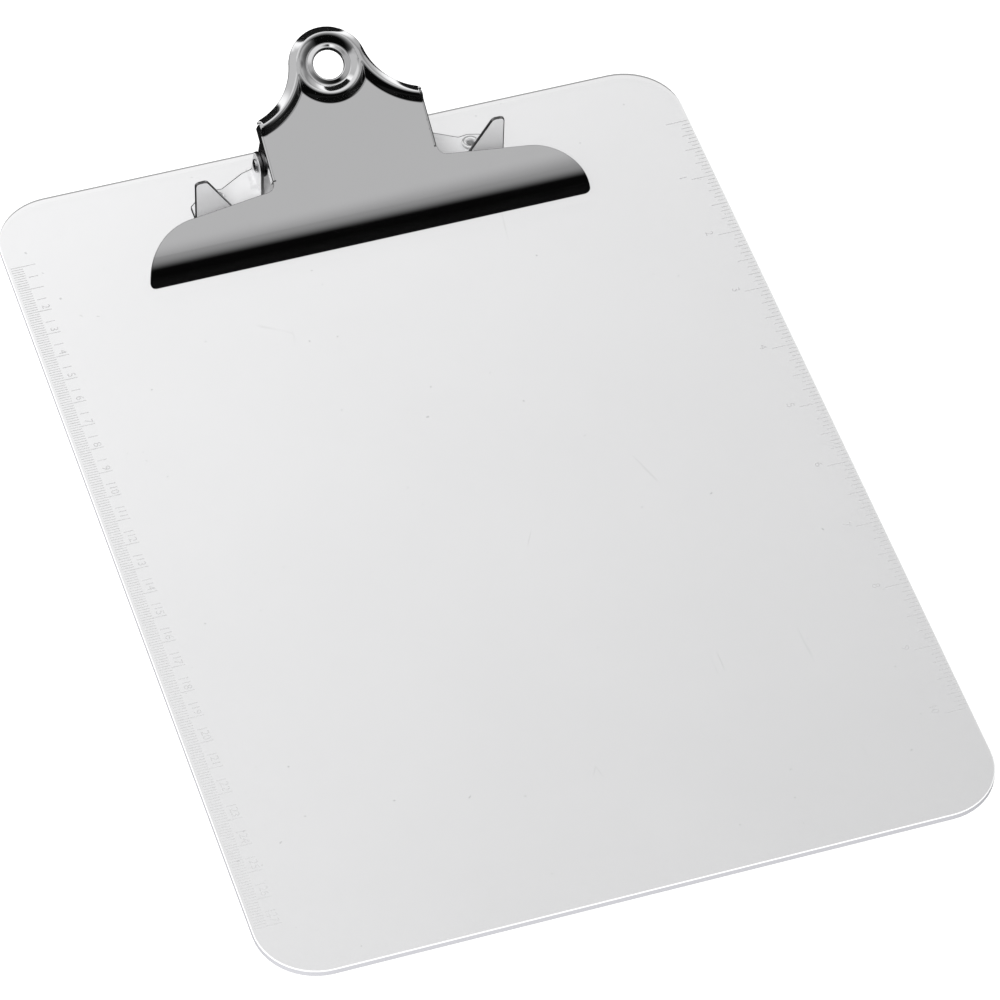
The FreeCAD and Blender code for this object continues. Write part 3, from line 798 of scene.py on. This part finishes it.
def make_centimetre_scale():
    """Millimetres, halves and centimetres, inwards from the left edge."""
    marks = Print()
    edge = board_low[0] + CM_INSET
    zero = board_high[1] - SCALE_ZERO
    for k in range(CENTIMETRES * 10 + 1):
        marks.bar(edge, edge + (MM_TICK if k % 10 else CM_TICK), zero - k, TICK_WIDTH)
        if k % 10 == 5:
            marks.bar(edge + CM_HALF[0], edge + CM_HALF[1], zero - k, TICK_WIDTH)
        if k > 10 and k % 10 == 0:
            marks.number(k // 10, edge + CM_NUMERAL_X, zero - k + NUMERAL_GAP, NUMERAL_SIZE)
    return marks.finish("centimetre_scale")


# ---- Materials ---------------------------------------------------------------------------
class Graph:
    """Short way to write a shader graph."""

    def __init__(self, owner):
        owner.use_nodes = True
        self.tree = owner.node_tree
        self.tree.nodes.clear()

    def node(self, kind, inputs=None, **settings):
        made = self.tree.nodes.new("ShaderNode" + kind)
        for key, value in settings.items():
            setattr(made, key, value)
        for key, value in (inputs or {}).items():
            self.put(made.inputs[key], value)
        return made

    def put(self, socket, value):
        if isinstance(value, bpy.types.NodeSocket):
            self.tree.links.new(value, socket)
        else:
            socket.default_value = value

    def math(self, operation, *values):
        return self.node("Math", dict(enumerate(values)), operation=operation).outputs[0]

    def ramp(self, value, low, high, out_low=0.0, out_high=1.0, smooth=True):
        kind = "SMOOTHSTEP" if smooth else "LINEAR"
        made = self.node("MapRange", {0: value, 1: low, 2: high, 3: out_low, 4: out_high},
                         interpolation_type=kind)
        return made.outputs[0]

    def mix(self, factor, a, b):
        made = self.node("Mix", {0: factor, 6: a, 7: b}, data_type="RGBA")
        return made.outputs[2]

    def noise(self, coordinates, scale, detail=3.0, roughness=0.5):
        made = self.node("TexNoise", {"Vector": coordinates, "Scale": scale, "Detail": detail,
                                      "Roughness": roughness})
        return made.outputs["Fac"]

    def stretched(self, coordinates, scale, turn=0.0):
        made = self.node("Mapping", {"Vector": coordinates, "Scale": scale,
                                     "Rotation": (0.0, 0.0, turn)})
        return made.outputs[0]

    def object_place(self):
        return self.node("TexCoord").outputs["Object"]

    def surface(self, shader, output="OutputMaterial"):
        self.put(self.node(output).inputs["Surface"], shader)


def grey(level, tint=(1.0, 1.0, 1.0)):
    """Opaque grey, slightly tinted if asked."""
    return tuple(level * t for t in tint) + (1.0,)


def metal(name, tone, dullness, brush, metallic=1.0, tint=(1.0, 1.0, 1.01)):
    """Bright metal: handling marks, fine scratches, and edges that wear duller.

    brush is how fine the grain is along x, y and z."""
    material = bpy.data.materials.new(name)
    g = Graph(material)
    place = g.object_place()
    # Handling marks, brushed grain, pits and scratches.
    smudge = g.noise(place, 45.0, detail=4.0, roughness=0.55)
    grain = g.noise(g.stretched(place, brush), 1.0, roughness=0.6)
    pits = g.noise(place, 2600.0, detail=2.0)
    scratch = g.stretched(place, (2200.0, 90.0, 90.0), turn=0.5)
    scratch = g.noise(scratch, 1.0, detail=2.0, roughness=0.7)
    scratch = g.ramp(scratch, 0.66, 0.78)
    # Wear, in patches along the sharper edges.
    wear = g.ramp(g.node("NewGeometry").outputs["Pointiness"], 0.56, 0.64)
    wear = g.math("MULTIPLY", wear, g.ramp(g.noise(place, 260.0), 0.4, 0.7))
    # What they do to the colour, the dullness and the fine relief.
    colour = g.mix(smudge, grey(tone * 0.97, tint), grey(tone * 1.02, tint))
    colour = g.mix(wear, colour, grey(tone * 0.8, tint))
    rough = g.math("MULTIPLY_ADD", g.ramp(smudge, 0.4, 0.7), 0.05, dullness)
    rough = g.math("MULTIPLY_ADD", scratch, 0.06, rough)
    rough = g.math("MULTIPLY_ADD", wear, 0.15, rough)
    height = g.math("MULTIPLY_ADD", grain, 0.6, g.math("MULTIPLY", pits, 0.4))
    height = g.math("SUBTRACT", height, g.math("MULTIPLY", scratch, 0.5))
    bump = g.node("Bump", {"Strength": 0.12, "Distance": 0.00002, "Height": height})
    shader = g.node("BsdfPrincipled", {
        "Base Color": colour, "Metallic": metallic, "Roughness": rough, "Normal": bump.outputs[0],
    })
    g.surface(shader.outputs[0])
    return material


def clear_plastic():
    """Clear sheet: hairline scratches and dust on its faces, painted pale highlights on its rims, and painted
    shade on the rear rim and on its greyer cut sides.
    """
    material = bpy.data.materials.new("clear_plastic")
    g = Graph(material)
    place = g.object_place()
    # Faint clouds, specks of dust and hairline scratches.
    cloud = g.noise(place, 14.0, detail=5.0, roughness=0.6)
    dust = g.ramp(g.noise(place, 420.0, detail=2.0, roughness=0.4), 0.76, 0.8)
    cells = g.stretched(place, (18.0, 7.0, 7.0), turn=0.9)
    lines = g.node("TexVoronoi", {"Vector": cells, "Scale": 1.0}, feature="DISTANCE_TO_EDGE")
    scratch = g.math("MULTIPLY", g.ramp(lines.outputs["Distance"], 0.003, 0.0),
                     g.ramp(g.noise(place, 30.0), 0.6, 0.68))
    marks = g.math("MAXIMUM", dust, g.math("MULTIPLY", scratch, 0.4))
    # Where a ray meets a cut side, or the rim beside it, from outside.
    surface = g.node("NewGeometry").outputs
    facing = g.node("SeparateXYZ", {0: surface["True Normal"]}).outputs
    height_here = g.node("SeparateXYZ", {0: place}).outputs[2]
    upright = g.math("ABSOLUTE", facing[2])
    outside = g.math("SUBTRACT", 1.0, surface["Backfacing"])
    wall = g.math("MULTIPLY", g.ramp(upright, 0.4, 0.2), outside)
    rim = g.math("MULTIPLY", g.ramp(upright, 0.995, 0.93), outside)
    # Nearly even faces; rims painted pale as highlights, and painted darker at the rear as shade; and cut sides
    # painted grey as shade.
    colour = g.mix(cloud, grey(PLASTIC_TONE - 0.015, PLASTIC_TINT),
                   grey(PLASTIC_TONE + 0.015, PLASTIC_TINT))
    colour = g.mix(marks, colour, grey(PLASTIC_TONE - 0.2, PLASTIC_TINT))
    # Painted shade and highlight: the rim at the rear is painted dark, the other rims are painted pale.
    rear_rim_shade = g.ramp(facing[1], 0.1, 0.3)
    colour = g.mix(rim, colour, g.mix(rear_rim_shade, grey(0.95), grey(0.3)))
    # Painted shade: the cut sides are painted a bluish grey.
    colour = g.mix(wall, colour, grey(0.5, (1.0, 1.0, 1.06)))
    cut = g.math("MAXIMUM", rim, wall)
    clear = g.math("SUBTRACT", 1.0, g.math("MULTIPLY", cut, RIM_OPACITY))
    rough = g.math("MULTIPLY_ADD", cloud, 0.03, 0.01)
    rough = g.math("MULTIPLY_ADD", g.math("MAXIMUM", marks, wall), 0.2, rough)
    ripple = g.noise(place, 120.0, detail=2.0)
    height = g.math("MULTIPLY_ADD", ripple, 0.4, g.math("MULTIPLY", marks, -0.6))
    bump = g.node("Bump", {"Strength": 0.05, "Distance": 0.00005, "Height": height})
    body = g.node("BsdfPrincipled", {
        "Base Color": colour, "Roughness": rough, "IOR": PLASTIC_IOR, "Transmission Weight": clear,
        "Coat Weight": 0.2, "Coat Roughness": 0.03, "Coat IOR": 1.49,
        "Normal": bump.outputs[0], "Coat Normal": bump.outputs[0],
    })
    # The sheet casts only a faint shadow.
    light_through = g.node("BsdfTransparent", {"Color": grey(0.9, PLASTIC_TINT)})
    shadow = g.node("LightPath").outputs["Is Shadow Ray"]
    mixed = g.node("MixShader", {0: shadow, 1: body.outputs[0], 2: light_through.outputs[0]})
    # Cut sides seen from inside let light straight on, with a painted grey shade line at the top of the rear one.
    inner = g.math("MULTIPLY", g.ramp(upright, 0.97, 0.9), surface["Backfacing"])
    near_top = g.ramp(height_here, *[(BOARD_TOP - depth) * MM for depth in REAR_SHADE_LINE])
    # Painted shade: a grey line where the rear cut side meets the top face.
    rear_shade_line = g.math("MULTIPLY", g.ramp(facing[1], -0.1, -0.4), near_top)
    straight = g.node("BsdfTransparent", {"Color": g.mix(rear_shade_line, grey(0.82), grey(0.34))})
    mixed = g.node("MixShader", {0: inner, 1: mixed.outputs[0], 2: straight.outputs[0]})
    g.surface(mixed.outputs[0])
    return material


def print_ink():
    """Thin frosted marks, a little uneven, and fainter towards the end away from the clip, which is painted light
    standing in for how the light falls along the board.
    """
    material = bpy.data.materials.new("print_ink")
    g = Graph(material)
    place = g.object_place()
    patchy = g.noise(place, 700.0)
    along = g.node("SeparateXYZ", {0: place}).outputs[1]
    # Painted light: the marks fade towards the end away from the clip.
    kept = g.ramp(along, -0.12, 0.12, 0.25, 1.0, smooth=False)
    colour = g.mix(patchy, grey(0.30), grey(0.42))
    alpha = g.ramp(patchy, 0.3, 0.7, PRINT_ALPHA * 0.8, PRINT_ALPHA * 1.2)
    shader = g.node("BsdfPrincipled", {
        "Base Color": colour, "Roughness": g.ramp(patchy, 0.3, 0.7, 0.5, 0.7),
        "Alpha": g.math("MULTIPLY", kept, alpha),
    })
    g.surface(shader.outputs[0])
    return material


# ---- Studio ------------------------------------------------------------------------------
def make_floor():
    """Plain pale table that glows softly, brighter behind the object on the left.

    Mirror rays see it dark, so that the lip's reflection of it is dark."""
    mesh = bpy.data.meshes.new("floor")
    signs = ((-1, -1), (1, -1), (1, 1), (-1, 1))
    corners = [(x * FLOOR_HALF, y * FLOOR_HALF, FLOOR_Z) for x, y in signs]
    mesh.from_pydata(corners, [], [(0, 1, 2, 3)])
    floor = bpy.data.objects.new("floor", mesh)
    bpy.context.scene.collection.objects.link(floor)
    material = bpy.data.materials.new("floor")
    g = Graph(material)
    place = g.object_place()
    spot = g.node("VectorMath", {0: place, 1: FLOOR_FALL}, operation="DOT_PRODUCT")
    spot = spot.outputs["Value"]
    glow = g.ramp(spot, -FLOOR_SPAN, FLOOR_SPAN, *FLOOR_GLOW, smooth=False)
    glow = g.math("ADD", glow, g.math("MULTIPLY", g.noise(place, 3.0), 0.01))
    # Dark once a ray has been mirrored, and white to the camera.
    path = g.node("LightPath").outputs
    direct = g.math("LESS_THAN", path["Glossy Depth"], 0.5)
    seen = g.math("MULTIPLY_ADD", direct, 1 - FLOOR_IN_MIRROR, FLOOR_IN_MIRROR)
    glow = g.math("MULTIPLY", glow, seen)
    glow = g.math("MAXIMUM", glow, g.math("MULTIPLY", path["Is Camera Ray"], BACKDROP))
    light = g.node("Emission", {"Color": grey(1.0), "Strength": glow})
    matt = g.node("BsdfDiffuse", {"Color": g.mix(direct, grey(FLOOR_IN_MIRROR), grey(0.12))})
    g.surface(g.node("AddShader", {0: light.outputs[0], 1: matt.outputs[0]}).outputs[0])
    material.cycles.emission_sampling = "NONE"
    mesh.materials.append(material)


def make_sky():
    """Soft box all round, with the dark front and side panels that bright metal needs.

    Only mirror rays see the panels; other rays see plain soft light."""
    world = bpy.data.worlds.new("studio")
    bpy.context.scene.world = world
    world.cycles.sampling_method = "NONE"
    g = Graph(world)
    way = g.node("TexCoord").outputs["Generated"]
    axes = g.node("SeparateXYZ", {0: way}).outputs
    x, y, z = axes[0], axes[1], axes[2]

    # In front: dark low down, with a step of light overhead.
    front = g.math("ADD", g.ramp(z, 0.42, 0.90, 0.0, 0.385), g.ramp(z, 0.882, 0.942, 0.003, 0.295))
    # Behind: light on both flanks of a dark gap, and light above.
    sideways = g.math("DIVIDE", x, g.math("MAXIMUM", y, 0.001))
    off_gap = g.math("ABSOLUTE", g.math("SUBTRACT", sideways, SKY_GAP))
    flank = g.ramp(off_gap, 1.2, 0.66, 0.72, 1.5)
    flank = g.math("MULTIPLY", flank, g.ramp(sideways, 0.8, 3.0, 1.0, 0.45))
    back = g.math("MULTIPLY", flank, g.ramp(off_gap, 0.54, 0.62, 0.01, 1.0))
    above = g.ramp(z, 0.77, 0.83)
    back = g.math("ADD", g.math("MULTIPLY", back, g.math("SUBTRACT", 1.0, above)),
                  g.math("MULTIPLY", above, 1.05))
    panels = g.mix(g.ramp(y, -0.12, 0.12), front, back)
    # At the sides: pale on the left, and dark low down on the right.
    left = g.math("MULTIPLY", g.ramp(x, -0.45, -0.7), g.ramp(y, -0.45, -0.2))
    panels = g.mix(left, panels, grey(0.75))
    right = g.math("MULTIPLY", g.ramp(x, 0.45, 0.7), g.ramp(y, 0.3, 0.1))
    panels = g.mix(right, panels, g.ramp(z, 0.15, 0.5, 0.06, 0.6))

    path = g.node("LightPath").outputs
    # Other rays: soft light, rather more from the left; bright through the plastic, unless the
    # ray was mirrored more than once; and white to the camera.
    soft = g.math("MULTIPLY_ADD", x, -0.25, SKY_SOFT)
    colour = g.mix(path["Is Glossy Ray"], soft, panels)
    through = g.math("MULTIPLY", g.math("LESS_THAN", path["Glossy Depth"], 1.5), 1.1)
    colour = g.mix(path["Is Transmission Ray"], colour, through)
    colour = g.mix(path["Is Camera Ray"], colour, grey(1.1))
    g.surface(g.node("Background", {"Color": colour, "Strength": 1.0}).outputs[0], "OutputWorld")


def make_light():
    """Large soft light, high in front of the object on the left."""
    data = bpy.data.lights.new("key", "AREA")
    data.shape = "DISK"
    data.size = KEY_SIZE
    data.energy = KEY_ENERGY
    light = bpy.data.objects.new("key", data)
    light.location = KEY_PLACE
    light.rotation_mode = "QUATERNION"
    light.rotation_quaternion = (-light.location).to_track_quat("-Z", "Y")
    light.visible_glossy = False
    light.visible_transmission = False
    bpy.context.scene.collection.objects.link(light)


def make_camera():
    """Long lens at the photo's angle, a little rolled, aimed near the middle of the board."""
    angles = (CAMERA_AZIMUTH, CAMERA_ELEVATION, CAMERA_ROLL)
    azimuth, elevation, roll = (math.radians(angle) for angle in angles)
    ahead = Vector((math.sin(azimuth) * math.cos(elevation), math.cos(azimuth) * math.cos(elevation),
                    -math.sin(elevation)))
    right = Vector((math.cos(azimuth), -math.sin(azimuth), 0.0))
    up = right.cross(ahead)
    across = right * math.cos(roll) + up * math.sin(roll)
    upright = across.cross(ahead)
    data = bpy.data.cameras.new("camera")
    data.lens = CAMERA_LENS
    data.sensor_width = 36.0
    data.clip_start, data.clip_end = 0.05, 50.0
    camera = bpy.data.objects.new("camera", data)
    middle = (board_low + board_high) / 2
    target = Vector((middle[0], middle[1], BOARD_TOP)) * MM + Vector(CAMERA_AIM) * MM
    turn = Matrix((across, upright, -ahead)).transposed().to_4x4()
    camera.matrix_world = Matrix.Translation(target - ahead * CAMERA_DISTANCE) @ turn
    bpy.context.scene.collection.objects.link(camera)
    bpy.context.scene.camera = camera


# ---- Assembly ----------------------------------------------------------------------------
def dress(made, *materials):
    """Give an object its materials; each face keeps the number of its slot."""
    slots = [face.material_index for face in made.data.polygons]
    made.data.materials.clear()
    for material in materials:
        made.data.materials.append(material)
    made.data.polygons.foreach_set("material_index", [min(k, len(materials) - 1) for k in slots])


def main():
    chrome = metal("chrome_plate", tone=0.66, dullness=0.07, brush=(600.0, 40.0, 40.0))
    satin = metal("satin_plate", tone=0.86, dullness=0.34, brush=(600.0, 60.0, 60.0), metallic=0.2)
    # Painted shade: the cut edges of the sheets are given dark metal, standing in for the dark they reflect and
    # the shadow along them.
    cut_edge = metal("cut_edge", tone=0.22, dullness=0.3, brush=(300.0, 300.0, 900.0))
    steel = metal("steel_rod", tone=0.62, dullness=0.22, brush=(60.0, 900.0, 900.0))
    spring_steel = metal("spring_wire", tone=0.60, dullness=0.24, brush=(300.0, 300.0, 300.0))
    rivet_steel = metal("rivet_metal", tone=0.8, dullness=0.22, brush=(400.0, 400.0, 400.0), metallic=0.6)
    plastic = clear_plastic()
    ink = print_ink()

    jaw = make_jaw_plate()
    dress(jaw, chrome, cut_edge)
    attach(jaw, "jaw")
    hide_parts("jaw_plate")

    base = make_base_plate()
    dress(base, satin, cut_edge)
    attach(base, "board")
    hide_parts("base_plate")

    coils, arms = make_spring()
    for coil in coils:
        dress(coil, spring_steel)
        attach(coil, "board")
    dress(arms, spring_steel)
    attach(arms, "jaw")
    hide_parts("torsion_spring")

    for scale in (make_inch_scale(), make_centimetre_scale()):
        dress(scale, ink)
        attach(scale, "board")

    nodes = frame["nodes"]
    dress(nodes["board"], plastic)
    dress(nodes["pivot_rod"], steel)
    for name in ("rivet_left", "rivet_right"):
        dress(nodes[name], rivet_steel)

    make_floor()
    make_sky()
    make_light()
    make_camera()
    bpy.context.scene.view_settings.view_transform = "Standard"


main()
